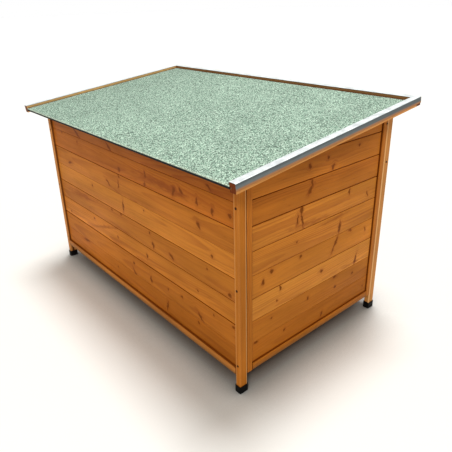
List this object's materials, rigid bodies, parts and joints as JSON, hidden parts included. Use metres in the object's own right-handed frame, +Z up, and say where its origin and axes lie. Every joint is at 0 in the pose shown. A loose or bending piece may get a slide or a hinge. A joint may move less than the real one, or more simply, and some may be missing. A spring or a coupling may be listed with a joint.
{
  "type": "dog kennel",
  "caption": "Wooden dog kennel on short legs with tongue-and-groove walls, an off-centre entrance and a sloping felted roof that lifts on hinges at the back.",
  "frame": {"origin": "on the ground, under the middle of the roof's outline", "axes": "+Z up, +X along the long walls to the right as seen from the entrance, entrance facing -Y, low eave at +Y"},
  "size_m": [1.16, 0.695, 0.6992],
  "materials": {
    "pine": "orange-brown glazed softwood, satin",
    "plywood": "plain plywood, matt",
    "roof_felt": "green mineral-granule roofing felt",
    "trim_metal": "bright bent sheet",
    "foot_plastic": "black moulded plastic",
    "zinc_steel": "zinc-plated steel"
  },
  "bodies": {
    "cabin": {"post_front_left": "pine", "foot_cap_front_left": "foot_plastic", "post_front_right": "pine", "foot_cap_front_right": "foot_plastic", "post_back_left": "pine", "foot_cap_back_left": "foot_plastic", "post_back_right": "pine", "foot_cap_back_right": "foot_plastic", "back_bottom_rail": "pine", "back_top_rail": "pine", "back_boards_1": "pine", "back_boards_2": "pine", "back_boards_3": "pine", "back_boards_4": "pine", "front_bottom_rail": "pine", "front_sill_rail": "pine", "front_header": "pine", "front_left_jamb": "pine", "front_right_jamb": "pine", "front_lower_boards": "pine", "front_left_boards_1": "pine", "front_left_boards_2": "pine", "front_right_boards_1": "pine", "front_right_boards_2": "pine", "left_front_stile": "pine", "left_back_stile": "pine", "left_bottom_rail": "pine", "right_front_stile": "pine", "right_back_stile": "pine", "right_bottom_rail": "pine", "left_boards_1": "pine", "left_boards_2": "pine", "left_boards_3": "pine", "left_boards_4": "pine", "right_boards_1": "pine", "right_boards_2": "pine", "right_boards_3": "pine", "right_boards_4": "pine", "floor_panel_1": "plywood", "floor_panel_2": "plywood", "hinge_left_wall_leaf": "zinc_steel", "hinge_left_pin": "zinc_steel", "hinge_right_wall_leaf": "zinc_steel", "hinge_right_pin": "zinc_steel", "stay_wall_peg": "zinc_steel"},
    "roof": {"roof_deck": "plywood", "roof_felt": "roof_felt", "roof_left_batten": "pine", "roof_right_batten": "pine", "roof_front_batten": "pine", "roof_left_trim": "trim_metal", "roof_right_trim": "trim_metal", "roof_front_trim": "trim_metal", "roof_left_bearer": "pine", "roof_right_bearer": "pine", "hinge_left_roof_leaf": "zinc_steel", "hinge_right_roof_leaf": "zinc_steel", "stay_roof_pivot": "zinc_steel"},
    "stay": {"stay_arm": "zinc_steel"}
  },
  "joints": [
    {"name": "roof_lift", "type": "hinge", "parent": "cabin", "child": "roof", "pos_m": [0, 0.295, 0.60357], "axis": [-1, 0, 0], "range_deg": [0, 70]},
    {"name": "stay_swing", "type": "hinge", "parent": "roof", "child": "stay", "pos_m": [-0.5078, 0.07564, 0.6203], "axis": [-1, 0, 0], "range_deg": [-35, 0]}
  ],
  "couplings": [
    {"joint": "stay_swing", "follows": "roof_lift", "ratio": -0.5}
  ]
}
